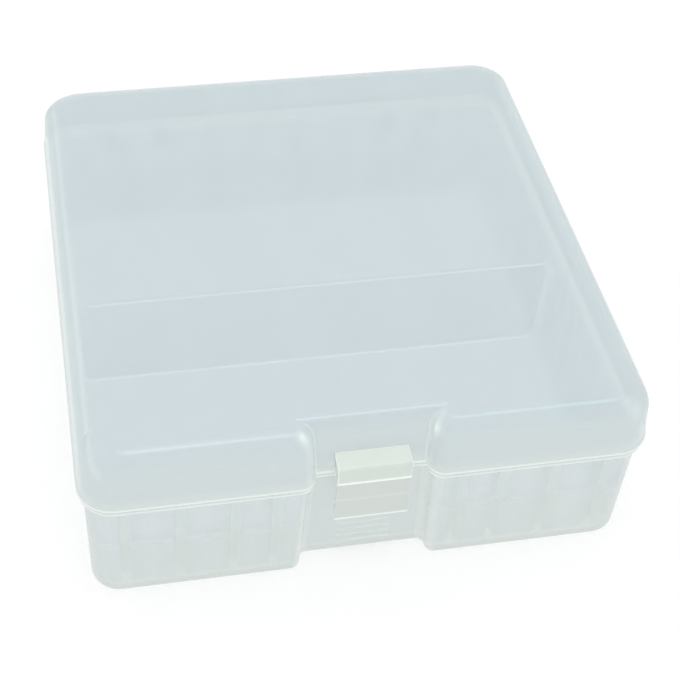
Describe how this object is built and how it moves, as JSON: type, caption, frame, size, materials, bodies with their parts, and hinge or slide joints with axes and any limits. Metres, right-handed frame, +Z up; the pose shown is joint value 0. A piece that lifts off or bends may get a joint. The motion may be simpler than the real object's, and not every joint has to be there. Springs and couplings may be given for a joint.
{
  "type": "hinged battery storage case",
  "caption": "Translucent snap-latch storage case: a two-compartment tray and a deep hinged lid that hold batteries standing in rows.",
  "frame": {"origin": "middle of the flat underside", "axes": "+Z up, -Y towards the latch at the front, +X to the right seen from the front"},
  "size_m": [0.17, 0.1824, 0.0616],
  "materials": {
    "tray_plastic": "milky translucent moulded polypropylene, satin",
    "lid_plastic": "milky translucent moulded polypropylene, satin, faintly blue",
    "latch_plastic": "milky translucent moulded polypropylene, satin, faintly yellow where thick",
    "pin_plastic": "milky translucent moulded plastic"
  },
  "bodies": {
    "tray": {"base_tray": "tray_plastic", "divider_wall": "tray_plastic", "hinge_pin_left": "pin_plastic", "hinge_pin_right": "pin_plastic"},
    "lid": {"lid_shell": "lid_plastic"},
    "latch": {"latch_flap": "latch_plastic"}
  },
  "joints": [
    {"name": "lid_hinge", "type": "hinge", "parent": "tray", "child": "lid", "pos_m": [0, 0.0914, 0.04165], "axis": [-1, 0, 0], "range_deg": [0, 180]},
    {"name": "latch_hinge", "type": "hinge", "parent": "lid", "child": "latch", "pos_m": [0, -0.0876, 0.04165], "axis": [-1, 0, 0], "range_deg": [0, 110], "stiffness_Nm_per_rad": 0.002}
  ]
}
